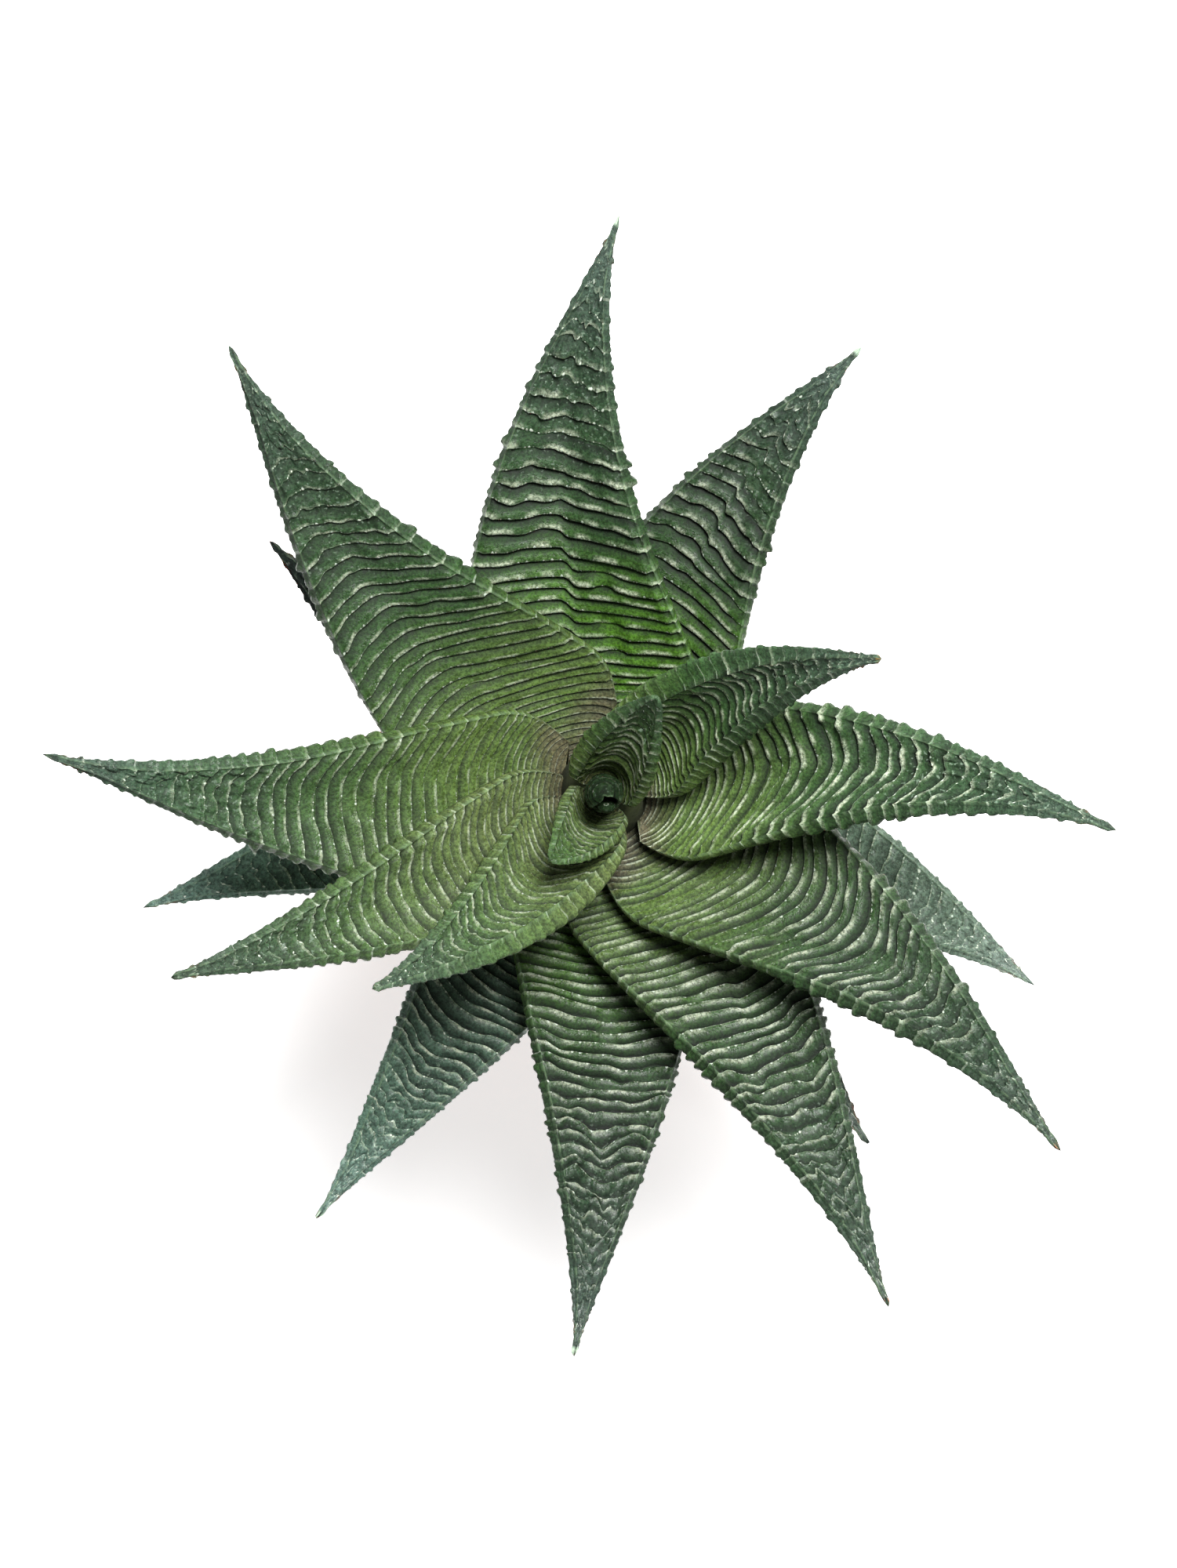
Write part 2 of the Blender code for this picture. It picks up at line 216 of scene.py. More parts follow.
def spine_frames(controls, u, roll):
    """For each u: the spine's point, and unit vectors along, across (anticlockwise) and up."""
    a, b, c = controls
    t = u[..., None]
    point = (1 - t) ** 2 * a + 2 * t * (1 - t) * b + t * t * c
    along = (1 - t) * (b - a) + t * (c - b)
    along /= np.linalg.norm(along, axis=-1, keepdims=True)
    across = np.cross(np.array([0.0, 0.0, 1.0]), along)
    across /= np.linalg.norm(across, axis=-1, keepdims=True)
    up = np.cross(along, across)
    turn = math.radians(roll)
    return (
        point,
        along,
        across * math.cos(turn) + up * math.sin(turn),
        up * math.cos(turn) - across * math.sin(turn),
    )


def spine_length(controls):
    points = spine_frames(controls, np.linspace(0, 1, 60), 0.0)[0]
    return float(np.linalg.norm(np.diff(points, axis=0), axis=1).sum())


def outline(leaf, u):
    s = 1.0 - u
    peak_s = leaf.taper * (1 + OUTLINE_BASE) / (leaf.taper + OUTLINE_EASE)
    peak = peak_s**leaf.taper * (1 + OUTLINE_BASE - peak_s) ** OUTLINE_EASE
    shape = s**leaf.taper * (1 + OUTLINE_BASE - s) ** OUTLINE_EASE / peak
    narrow = 1.0 - (1.0 - BASE_NARROWING) * np.maximum(0.0, 1.0 - u / BASE_SPAN) ** 2
    return np.maximum(0.5 * leaf.width * shape * narrow, SMALLEST_HALF_WIDTH)


def belly(leaf, u):
    rise = BELLY_AT_BASE + (1 - BELLY_AT_BASE) * np.minimum(1.0, u / BELLY_FULL_AT) ** BELLY_RISE_POWER
    return np.maximum(leaf.belly * rise * (1.0 - u**BELLY_TAPER_POWER), EDGE_THICKNESS)


def ridge_profile(p):
    """A ridge's height for p from 0 to 1: a steep side, a crest, and a rounded fall to the next one."""
    climb = smoothstep(p, 0.0, CREST)
    fall = 1.0 - np.clip((p - CREST) / (1 - CREST), 0, 1) ** FALL_POWER
    return climb * fall + 0.05 * bell(p, CREST, 0.05)


def row_places(skin, length, seed):
    """Each row's place along the leaf (0 to 1), its ridge count and its pitch; ridges widen from the base."""
    s, q = 0.0, 0
    rows = []
    while s < length * LAST_ROW:
        pitch = skin.pitch * (0.42 + 0.58 * float(smoothstep(s / length, -0.08, 0.45)))
        pitch *= 0.84 + 0.32 * float(hashed(q, seed, 2))
        for p in ROWS_IN_RIDGE:
            if s + p * pitch < length * LAST_ROW:
                rows.append(((s + p * pitch) / length, q + p, pitch))
        s += pitch
        q += 1
    return np.array(rows).T


def section_places(leaf):
    """Across the leaf: v (-1 to 1) of each point, 1 for the underside, and w (0 to 1) round the underside."""
    share = SMALL_LEAF_SHARE if leaf.width < SMALL_LEAF else 1.0
    upper, lower = int(UPPER_POINTS * share), int(LOWER_POINTS * share)
    turn = math.pi * (np.arange(lower) + 0.5) / lower
    w = 0.5 - 0.5 * np.cos(turn) * (0.55 + 0.45 * np.abs(np.cos(turn)))
    face = np.linspace(-1, 1, upper)
    v = np.concatenate([np.sin(face * 1.2) / math.sin(1.2), np.cos(math.pi * w)])
    under = np.concatenate([np.zeros(upper), np.ones(lower)])
    return v, under, np.concatenate([np.zeros(upper), w])


def ridge_lines(leaf, skin, length, places, q, v, under, seed):
    """u of each point: chevrons with a rounded apex, slow waves, and a jog at the leaf's middle."""
    half = outline(leaf, places)
    off = v - skin.apex
    bend = np.sqrt(off * off + APEX_ROUNDING) - math.sqrt(APEX_ROUNDING)
    sweep = np.where(off > 0, skin.sweep_ccw, skin.sweep_cw)
    shift = -bend * np.tan(np.radians(sweep)) * half
    rough = 0.5 + smoothstep(places, 0.1, 0.6) + 1.2 * smoothstep(places, 0.5, 0.85)
    shift += skin.wave * rough * 1.5 * noise(q * 0.37, v * 1.7 + 7, seed)
    shift += skin.wave * rough * 0.8 * noise(q * 0.9, v * 4.2, seed + 3)
    step = smoothstep(v + 0.06 * noise(q * 0.4, 0 * q, seed + 8), -0.06, 0.06) - 0.5
    shift += skin.jog * skin.pitch * step * (0.4 + noise(q * 0.17, 0 * q, seed + 9))
    shift *= np.where(under > 0.5, 0.5 + 0.5 * np.abs(v), 1.0)
    x = places + shift / length
    u = 0.5 * (x + np.sqrt(x * x + 0.00004))
    return np.maximum.accumulate(np.minimum(u, 0.9995), axis=0)


def leaf_surface(leaf, skin, u, q, pitch, v, under, w, seed):
    """The points of the leaf's skin, in millimetres, and how strong its ridges are."""
    controls = spine_controls(leaf)
    point, along, across, up = spine_frames(controls, u, leaf.roll)
    half = outline(leaf, u)
    banded = smoothstep(u, skin.bands_from, skin.bands_from + 0.3)
    flank_grow = banded * (1 - smoothstep(u, 0.9, 1.0))
    flank_cw = np.minimum(skin.flank_cw, 0.35 * half) * flank_grow
    flank_ccw = np.minimum(skin.flank_ccw, 0.35 * half) * flank_grow
    face_half = half - 0.5 * (flank_cw + flank_ccw)
    cup = leaf.cup * (1.0 - CUP_OPENING * u)
    angle = cup * v
    deep = belly(leaf, u) - EDGE_THICKNESS
    drop = np.where(under > 0.5, EDGE_THICKNESS + deep * np.sin(math.pi * w) ** BELLY_POWER, 0.0)
    side = face_half * np.sin(angle) / cup + drop * np.sin(angle) + 0.5 * (flank_cw - flank_ccw)
    height = face_half * (1 - np.cos(angle)) / cup - drop * np.cos(angle)
    fold = math.tan(math.radians(skin.fold)) * smoothstep(u, 0.05, 0.3) * (1 - 0.6 * smoothstep(u, 0.6, 1))
    height += fold * half * (np.sqrt(v * v + 0.004) - 0.5)
    near_ccw, near_cw = w / FLANK_AT, (1 - w) / FLANK_AT
    side += np.where(under > 0.5, flank_ccw * near_ccw * np.exp(1 - near_ccw), 0.0)
    side -= np.where(under > 0.5, flank_cw * near_cw * np.exp(1 - near_cw), 0.0)

    # ridges on both faces, broken into tubercles towards the tip and on the underside
    p = np.mod(q, 1.0)
    number = np.floor(q + 1e-6)
    swell = smoothstep(u, -0.16, 0.08) * (1 - 0.72 * smoothstep(u, 0.55, 0.88))
    merged = smoothstep(noise(v * half / 5.0, number * 0.77, seed + 40), 0.35, 0.8)
    swell = swell * (1 - 0.7 * merged)
    inward = (1 - np.abs(v)) * face_half
    broken = 0.5 + 0.5 * noise(v * half / 1.5, number * 0.9, seed + 20)
    break_up = smoothstep(u, 0.42, 0.72) * 0.95
    uneven = 0.95 + 0.30 * noise(v * half / 3.5, number * 0.6, seed + 5)
    lift = skin.steep * pitch * swell * (1 - break_up * (1 - broken)) * uneven
    upper_lift = lift * ridge_profile(p) * smoothstep(inward, 0.05, 0.9)
    lip = 0.14 * bell(inward, 0.0, 0.2) * swell * (1 - smoothstep(u, 0.85, 0.97))
    warts = smoothstep(noise(v * half / 0.75, u * leaf.reach / 0.75, seed + 60), 0.25, 0.8)
    lip = lip + 0.34 * warts * smoothstep(u, 0.42, 0.75) * (1 - smoothstep(u, 0.86, 0.97))
    in_band = smoothstep(np.minimum(w, 1 - w), 0.01, 0.05) * (1 - smoothstep(np.minimum(w, 1 - w), 0.14, 0.22))
    knobs = 0.25 + 0.75 * np.maximum(0, noise(v * half / 1.1, number * 1.7, seed + 31))
    under_lift = lift * ridge_profile(p) * (0.13 * in_band * banded + 0.8 * (1 - in_band) * knobs)
    raised = np.where(under > 0.5, under_lift, upper_lift + lip)
    sign = np.where(under > 0.5, 1.0, -1.0)
    side += sign * np.sin(angle) * raised
    height -= sign * np.cos(angle) * raised
    tooth = bell(p, 0.3, 0.16) * (0.25 + hashed(number, seed, 1)) + 0.5 * bell(p, 0.78, 0.10) * hashed(number, seed, 4)
    tooth *= np.maximum(swell, 0.5) * (1 - smoothstep(u, 0.93, 1.0))
    toothed = smoothstep(u, 0.22, 0.5)
    push = in_band * toothed * np.where(under > 0.5, 1, 0) * tooth * 0.34 * pitch * min(1.0, leaf.width / 18)
    side += np.sign(v) * push

    place = point + across * side[..., None] + up * height[..., None]
    lean = 0.28 * raised * bell(p, CREST, 0.10) * np.where(under > 0.5, 0.4, 1.0)
    return place - along * lean[..., None], swell


def leaf_mesh(leaf, seed):
    skin = SKINS[leaf.name]
    length = spine_length(spine_controls(leaf))
    places, counts, pitches = row_places(skin, length, seed)
    v, under, w = section_places(leaf)
    shape = (len(places), len(v))
    places, q, pitch = (np.broadcast_to(a[:, None], shape) for a in (places, counts, pitches))
    v, under, w = (np.broadcast_to(a, shape) for a in (v, under, w))
    u = ridge_lines(leaf, skin, length, places, q, v, under, seed)
    place, swell = leaf_surface(leaf, skin, u, q, pitch, v, under, w, seed)

    tip, _, _, up = spine_frames(spine_controls(leaf), np.array([1.0]), leaf.roll)
    inward = (1 - np.abs(v)) * outline(leaf, u)
    rim = np.where(under > 0.5, 0.0, bell(inward, 0.0, 0.12))
    data = {"along": u, "ridge": q, "across_mm": v * outline(leaf, u), "under": under, "rim": rim, "swell": swell}
    return skin_mesh("skin_" + leaf.name, place, tip[0] - up[0] * EDGE_THICKNESS / 2, data)


def skin_mesh(name, place, tip, data):
    """A closed mesh from rows of points round a section, with a value of each name in data at each point."""
    rows, columns = place.shape[:2]
    verts = np.vstack([place.reshape(-1, 3), tip, place[0].mean(axis=0)]) * MM
    index = np.arange(rows * columns).reshape(rows, columns)
    beside = np.roll(index, -1, axis=1)
    quads = np.stack([index[:-1], index[1:], beside[1:], beside[:-1]], axis=-1).reshape(-1, 4)
    tip_fan = np.stack([index[-1], np.full(columns, rows * columns), beside[-1]], axis=-1)
    base_fan = np.stack([index[0], beside[0], np.full(columns, rows * columns + 1)], axis=-1)
    mesh = bpy.data.meshes.new(name)
    mesh.from_pydata(verts.tolist(), [], quads.tolist() + tip_fan.tolist() + base_fan.tolist())
    for name, values in data.items():
        attribute = mesh.attributes.new(name, "FLOAT", "POINT")
        flat = np.concatenate([values.reshape(-1), [values[-1, 0], values[0, 0]]]).astype(np.float32)
        attribute.data.foreach_set("value", flat)
    mesh.shade_smooth()
    mesh.update()
    return mesh


def bud_mesh(leaf, seed):
    """The bud, from its foot up: the outer leaf is a hood that arches over a slit on one side, and the inner
    leaf is the small rounded lobe that shows in the slit."""
    hood = leaf.name == "bud_outer"
    foot, shoulder, top = BUD_HEIGHTS[leaf.name]
    columns = 40
    wall = np.linspace(0.0, 1.0, 20, endpoint=False)
    arch = np.radians(np.linspace(0.0, 80.0, 40))
    z = np.concatenate([foot + (shoulder - foot) * wall, shoulder + (top - shoulder) * np.sin(arch)])[:, None]
    dome = np.concatenate([0 * wall + 1.0, np.cos(arch)])[:, None]
    s = 1 - dome
    t = (z - foot) / (top - foot)
    if hood:
        face = np.concatenate([np.linspace(-1, 1, columns), np.linspace(1, -1, columns)])[None, :]
        inside = np.concatenate([np.zeros(columns), np.ones(columns)])[None, :] + 0 * t
        ridge = t * 19 - 0.6 * face * face + 0.15 * noise(face * 3 + 0 * t, t * 6 + 0 * face, seed)
        lift = 0.28 * ridge_profile(np.mod(ridge, 1.0)) * smoothstep(s, 1.0, 0.6) * (1 - inside)
        radius = (2.2 + lift) * dome - 0.4 * inside * dome
        closed = 1 - smoothstep(z, shoulder - 6.0, shoulder - 2.5)
        reach = math.radians(128) - 0.15 * s + math.radians(49) * closed
        turn = BUD_SLIT + math.pi + face * reach + 0.45 * s
        x = STEM_X + radius * np.cos(turn) + 0.5 * s * math.cos(BUD_SLIT)
        y = STEM_Y + radius * np.sin(turn) + 0.5 * s * math.sin(BUD_SLIT)
        rim = bell((1 - np.abs(face)) * 3, 0.0, 0.3) * (1 - inside)
    else:
        turn = np.linspace(0, 2 * math.pi, 2 * columns, endpoint=False)[None, :]
        inside = 0 * (turn + t)
        face = np.cos(turn)
        ridge = t * 12 + 0.3 * np.sin(turn)
        lift = 0.10 * ridge_profile(np.mod(ridge, 1.0)) * smoothstep(s, 1.0, 0.6)
        fold = 1 - 0.2 * bell(np.mod(turn - BUD_SLIT, 2 * math.pi), math.pi, 0.5)
        x = STEM_X + 1.6 * math.cos(BUD_SLIT) + np.cos(turn) * (1.1 * dome * fold + lift)
        y = STEM_Y + 1.6 * math.sin(BUD_SLIT) + np.sin(turn) * (0.8 * dome * fold + lift)
        rim = inside
    place = np.stack([x, y, z + 0 * x], axis=-1)
    tip = np.array([place[-1, :, 0].mean(), place[-1, :, 1].mean(), top])
    data = {"along": 0.25 + 0.5 * t + 0 * x, "ridge": ridge, "across_mm": face * 4 + 0 * x, "under": inside}
    data.update({"rim": rim, "swell": 0.7 + 0 * x})
    return skin_mesh("skin_" + leaf.name, place, tip, data)


def srgb(red, green, blue):
    """A colour given as 0 to 255 screen values, as linear RGBA."""
    channels = []
    for value in (red, green, blue):
        c = value / 255
        channels.append(c / 12.92 if c <= 0.04045 else ((c + 0.055) / 1.055) ** 2.4)
    return (*channels, 1.0)


def lit(light, red, green, blue):
    """The same colour made light times as bright, and never brighter than white."""
    return tuple(min(1.0, light * channel) for channel in srgb(red, green, blue)[:3]) + (1.0,)


class Graph:
    """A Principled material, and short calls that add nodes to it."""

    def __init__(self, name):
        self.material = bpy.data.materials.new(name)
        self.material.use_nodes = True
        self.nodes = self.material.node_tree.nodes
        self.links = self.material.node_tree.links
        self.shader = self.nodes["Principled BSDF"]

    def put(self, value, socket):
        if isinstance(value, bpy.types.NodeSocket):
            self.links.new(value, socket)
        else:
            socket.default_value = value

    def shade(self, **inputs):
        for name, value in inputs.items():
            self.put(value, self.shader.inputs[name.replace("_", " ")])

    def attribute(self, name):
        made = self.nodes.new("ShaderNodeAttribute")
        made.attribute_name = name
        return made.outputs["Fac"]

    def position(self):
        return self.nodes.new("ShaderNodeTexCoord").outputs["Object"]

    def math(self, operation, *values):
        made = self.nodes.new("ShaderNodeMath")
        made.operation = operation
        for value, socket in zip(values, made.inputs):
            self.put(value, socket)
        return made.outputs[0]

    def span(self, value, low, high, to_low=0.0, to_high=1.0):
        """value's way from low to high, eased, as a number from to_low to to_high."""
        made = self.nodes.new("ShaderNodeMapRange")
        made.interpolation_type = "SMOOTHSTEP"
        for socket, number in zip(made.inputs, (value, low, high, to_low, to_high)):
            self.put(number, socket)
        return made.outputs[0]

    def vector(self, x, y, z=0.0):
        made = self.nodes.new("ShaderNodeCombineXYZ")
        for socket, value in zip(made.inputs, (x, y, z)):
            self.put(value, socket)
        return made.outputs[0]

    def noise(self, scale, detail=2.0, vector=None, roughness=0.5):
        made = self.nodes.new("ShaderNodeTexNoise")
        self.put(self.position() if vector is None else vector, made.inputs["Vector"])
        self.put(scale, made.inputs["Scale"])
        self.put(detail, made.inputs["Detail"])
        self.put(roughness, made.inputs["Roughness"])
        return made.outputs["Fac"]

    def random(self, vector):
        made = self.nodes.new("ShaderNodeTexWhiteNoise")
        made.noise_dimensions = "3D"
        self.put(vector, made.inputs["Vector"])
        return made.outputs["Value"]

    def mix(self, factor, a, b, blend="MIX"):
        made = self.nodes.new("ShaderNodeMix")
        made.data_type = "RGBA"
        made.blend_type = blend
        self.put(factor, made.inputs[0])
        self.put(a, made.inputs[6])
        self.put(b, made.inputs[7])
        return made.outputs[2]

    def ramp(self, value, stops):
        made = self.nodes.new("ShaderNodeValToRGB")
        elements = made.color_ramp.elements
        while len(elements) < len(stops):
            elements.new(0.5)
        for element, (place, colour) in zip(elements, stops):
            element.position = place
            element.color = colour
        self.put(value, made.inputs[0])
        return made.outputs[0]

    def bump(self, height, distance, strength=1.0):
        made = self.nodes.new("ShaderNodeBump")
        self.put(height, made.inputs["Height"])
        self.put(distance, made.inputs["Distance"])
        self.put(strength, made.inputs["Strength"])
        self.put(made.outputs[0], self.shader.inputs["Normal"])


# Tone: the colours along the leaf from its foot to its tip, where along it the throat and blade colours sit, and how
# bright the painted highlights and pale marks on its ridges are made.
Tone = namedtuple("Tone", "base throat blade shoulder tip throat_at blade_at gloss")
TONES = {
    "bud": Tone((60, 66, 40), (52, 70, 38), (38, 58, 30), (34, 54, 30), (34, 52, 32), 0.25, 0.6, 0.6),
    "heart": Tone((96, 98, 62), (84, 104, 54), (60, 86, 44), (52, 76, 44), (48, 70, 44), 0.25, 0.6, 1.4),
    "young": Tone((104, 98, 74), (98, 114, 66), (72, 98, 54), (58, 80, 54), (58, 76, 60), 0.22, 0.62, 1.35),
    "fresh": Tone((96, 98, 62), (98, 116, 66), (84, 108, 58), (76, 104, 56), (70, 98, 54), 0.22, 0.62, 1.35),
    "pale": Tone((100, 96, 70), (84, 106, 52), (62, 88, 48), (56, 80, 56), (60, 78, 66), 0.20, 0.50, 1.1),
    "mid": Tone((92, 88, 68), (80, 102, 50), (46, 72, 36), (44, 64, 44), (56, 72, 60), 0.18, 0.42, 1.1),
    "dark": Tone((80, 78, 52), (58, 92, 24), (38, 63, 30), (42, 60, 44), (60, 76, 66), 0.24, 0.44, 0.9),
    "outer": Tone((60, 62, 44), (44, 60, 38), (38, 53, 41), (40, 55, 46), (48, 62, 56), 0.15, 0.35, 0.5),
    "grey": Tone((82, 88, 70), (72, 90, 68), (69, 86, 70), (70, 85, 72), (78, 90, 82), 0.15, 0.35, 0.7),
}
DRY_TIPS = {"leaf_03": (150, 126, 72), "leaf_07": (176, 128, 92), "leaf_08": (150, 112, 78), "leaf_09": (190, 120, 92)}
PALE_TIPS = ("leaf_11", "leaf_12", "leaf_13", "leaf_14")


def beads(g, across, p, number, under, step, rarity, size):
    """White spots in a row along each crest, one to each step (mm) that passes the rarity test."""
    lane = g.math("DIVIDE", across, step)
    chance = g.random(g.vector(g.math("FLOOR", lane), number, g.math("ADD", under, step)))
    sideways = g.math("MULTIPLY", g.math("SUBTRACT", g.math("FRACT", lane), 0.5), step)
    lengthways = g.math("MULTIPLY", g.math("SUBTRACT", p, 0.12), 2.2)
    squares = g.math("ADD", g.math("POWER", sideways, 2.0), g.math("POWER", lengthways, 2.0))
    reach = g.span(chance, rarity, 1.0, 0.0, size)
    return g.span(g.math("SUBTRACT", g.math("SQRT", squares), reach), -0.05, 0.02, 1.0, 0.0)


def leaf_material(leaf):
    tone = TONES[SKINS[leaf.name].tone]
    g = Graph("skin_" + leaf.name)
    along, under, rim = g.attribute("along"), g.attribute("under"), g.attribute("rim")
    count, across, swell = g.attribute("ridge"), g.attribute("across_mm"), g.attribute("swell")
    p = g.math("FRACT", count)
    number = g.math("FLOOR", count)

    cloud = g.noise(160.0, 3.0)
    fine = g.noise(900.0, 3.0)
    grain = g.noise(2600.0, 3.0, None, 0.7)
    place = g.math("ADD", along, g.math("MULTIPLY", g.math("SUBTRACT", cloud, 0.5), 0.16))
    stops = [(0.02, tone.base), (0.10, tone.throat), (tone.throat_at, tone.throat), (tone.blade_at, tone.blade)]
    stops += [(0.78, tone.shoulder), (0.95, tone.tip)]
    # painted light and shade: the leaf's colours are scaled by its light factor, lighter or darker for how much light
    # reaches it
    light = SKINS[leaf.name].light
    colour = g.ramp(place, [(at, lit(light, *shade)) for at, shade in stops])
    speckle = g.span(fine, 0.3, 0.7, 0.82, 1.18)
    colour = g.mix(1.0, colour, g.vector(speckle, speckle, speckle), "MULTIPLY")
    salt = g.span(grain, 0.38, 0.62, 0.64, 1.42)
    visible = g.math("SUBTRACT", 1.0, g.math("MULTIPLY", under, 0.7))
    colour = g.mix(1.0, colour, g.vector(salt, salt, salt), "MULTIPLY")

    # painted light: the pale marks and painted highlights below are brightened by the leaf's light factor and its
    # tone's highlight gain
    painted_light_gain = tone.gloss * min(2.0, light**1.5)
    depth = min(0.97, 2.6 * SKINS[leaf.name].steep)
    # painted shade: each ridge darkens from its crest to the foot of the next one, where the next ridge's steep side
    # shades it
    painted_ridge_shade = [(0.0, 0.07), (0.07, 0.28), (0.13, 1.0), (0.34, 0.95), (0.55, 0.64), (0.75, 0.32), (0.88, 0.12), (0.98, 0.05)]
    painted_ridge_shade = g.ramp(p, [(place, (level**1.1, level, level**1.05, 1.0)) for place, level in painted_ridge_shade])
    shaded = g.math("MULTIPLY", g.math("MULTIPLY", swell, depth), g.math("SUBTRACT", 1.0, g.math("MULTIPLY", under, 0.5)))
    colour = g.mix(shaded, colour, g.mix(1.0, colour, painted_ridge_shade, "MULTIPLY"))

    # painted highlight: pale grainy patches on the rounded top of each ridge where light catches it, in patches along
    # it, brightest along the crest line
    patch = g.noise(1.0, 1.0, g.vector(g.math("MULTIPLY", across, 0.3), g.math("MULTIPLY", number, 1.7)))
    band = g.math("MULTIPLY", g.span(p, 0.06, 0.13), g.span(p, 0.18, 0.04 + SKINS[leaf.name].steep, 1.0, 0.0))
    painted_glint = g.math("MULTIPLY", g.math("MULTIPLY", band, swell), g.span(patch, 0.42, 0.64, 0.04, 1.0))
    painted_glint = g.math("MULTIPLY", g.math("MULTIPLY", painted_glint, visible), g.span(grain, 0.40, 0.58, 0.3, 1.0))
    colour = g.mix(g.math("MULTIPLY", painted_glint, 0.88 * depth), colour, lit(painted_light_gain, 190, 198, 174))
    # the pale crest line is partly the crest's own paler colour and partly painted highlight
    crest = g.math("MULTIPLY", g.span(p, 0.07, 0.12), g.span(p, 0.13, 0.19, 1.0, 0.0))
    crest = g.math("MULTIPLY", g.math("MULTIPLY", crest, visible), g.span(fine, 0.32, 0.65, 0.2, 0.9))
    colour = g.mix(g.math("MULTIPLY", g.math("MULTIPLY", crest, swell), 0.42), colour, lit(painted_light_gain, 168, 188, 158))

    # pale pimples scattered over the outer part
    pimples = g.math("MULTIPLY", g.span(g.noise(1900.0, 1.0), 0.62, 0.72), g.span(along, 0.42, 0.72, 0.0, 0.32))
    colour = g.mix(g.math("MULTIPLY", pimples, visible), colour, lit(painted_light_gain, 150, 172, 150))

    # white beads close together along the crests, and larger, sparser white dots
    small = g.math("MULTIPLY", beads(g, across, p, number, under, 0.38, 0.45, 0.15), visible)
    colour = g.mix(g.math("MULTIPLY", small, 0.6), colour, lit(painted_light_gain, 206, 216, 196))
    dots = g.math("MULTIPLY", beads(g, across, p, number, under, 1.1, 0.45, 0.2), g.span(along, 0.1, 0.35))
    dots = g.math("MULTIPLY", dots, visible)
    colour = g.mix(g.math("MULTIPLY", dots, 0.8), colour, lit(painted_light_gain**0.5, 206, 216, 200))

    colour = g.mix(g.math("MULTIPLY", rim, g.span(fine, 0.38, 0.6, 0.0, 0.35)), colour, srgb(112, 138, 102))
    if leaf.name in DRY_TIPS:
        colour = g.mix(g.span(along, 0.982, 0.994), colour, srgb(*DRY_TIPS[leaf.name]))
    if leaf.name in PALE_TIPS:
        colour = g.mix(g.span(along, 0.980, 0.988), colour, srgb(164, 184, 162))

    rough = g.math("ADD", g.span(fine, 0.3, 0.7, 0.22, 0.34), g.math("MULTIPLY", g.span(p, 0.36, 0.6), 0.42))
    g.shade(Base_Color=colour, Roughness=rough, Subsurface_Weight=0.06, Subsurface_Scale=0.0006)
    g.shader.inputs["Specular IOR Level"].default_value = 0.08 if leaf.name.startswith("bud") else 0.24
    relief = g.math("ADD", grain, g.math("MULTIPLY", fine, 0.4))
    g.bump(relief, 0.00016, 0.7)
    return g.material


def add_piece(name, mesh, material, slot, *nodes):
    piece = bpy.data.objects.new(name, mesh)
    bpy.context.scene.collection.objects.link(piece)
    mesh.materials.append(material)
    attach(piece, "root")
    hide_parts(*nodes)
    return piece

def rounded(points, radius, steps=5):
    """The closed or open outline with each inner corner turned into a short curve."""
    out = [points[0]]
    for before, corner, after in zip(points, points[1:], points[2:]):
        a, b, c = (np.array(p, dtype=float) for p in (before, corner, after))
        reach = min(radius, 0.45 * np.linalg.norm(a - b), 0.45 * np.linalg.norm(c - b))
        start = b + (a - b) / np.linalg.norm(a - b) * reach
        end = b + (c - b) / np.linalg.norm(c - b) * reach
        for i in range(steps + 1):
            t = i / steps
            out.append(tuple((1 - t) ** 2 * start + 2 * t * (1 - t) * b + t * t * end))
    out.append(points[-1])
    return out


def finer(points, step):
    """The outline with extra points so that none lie further apart than step."""
    out = [points[0]]
    for a, b in zip(points, points[1:]):
        parts = max(1, math.ceil(math.dist(a, b) / step))
        out += [(a[0] + (b[0] - a[0]) * i / parts, a[1] + (b[1] - a[1]) * i / parts) for i in range(1, parts + 1)]
    return out


def turned_mesh(name, profile, sides, wobble=None, x=0.0, y=0.0):
    """A closed turned mesh from (radius, height) points, top to bottom. A radius of 0 becomes one point."""
    bm = bmesh.new()
    rings = []
    for r, z in profile:
        ring = []
        for i in range(1 if r == 0 else sides):
            angle = 2 * math.pi * i / sides
            dr, dz = wobble(angle, r, z) if wobble else (0.0, 0.0)
            radius = max(r + dr, 0.0)
            place = (x + radius * math.cos(angle), y + radius * math.sin(angle), z + dz)
            ring.append(bm.verts.new([c * MM for c in place]))
        rings.append(ring)
    pairs = list(zip(rings, rings[1:]))
    if len(rings[0]) > 1:
        pairs.append((rings[-1], rings[0]))
    for upper, lower in pairs:
        for i in range(sides):
            j = (i + 1) % sides
            if len(upper) == 1:
                bm.faces.new((upper[0], lower[i], lower[j]))
            elif len(lower) == 1:
                bm.faces.new((upper[i], lower[0], upper[j]))
            else:
                bm.faces.new((upper[i], lower[i], lower[j], upper[j]))
    bmesh.ops.recalc_face_normals(bm, faces=bm.faces)
    mesh = bpy.data.meshes.new(name)
    bm.to_mesh(mesh)
    bm.free()
    mesh.shade_smooth()
    return mesh


def pot_inner_radius(z):
    foot = POT_FOOT_RADIUS - POT_WALL
    top = POT_TOP_RADIUS - RIM_STEP - POT_WALL
    return foot + (top - foot) * (z - POT_FLOOR) / (POT_HEIGHT - POT_FLOOR)


def pot_wobble(angle, r, z):
    """Faint turning lines and the slight unevenness of a pressed clay pot."""
    lines = 0.035 * math.sin(z * 5.1 + 0.4 * math.sin(angle * 2)) * min(1.0, max(0.0, (z - 1.5) / 3))
    uneven = 0.10 * float(noise(np.array(3 + 2 * math.cos(angle)), np.array(z * 0.09 + 2 * math.sin(angle)), 4.0))
    return (lines + uneven * min(1.0, z / 4), 0.0)


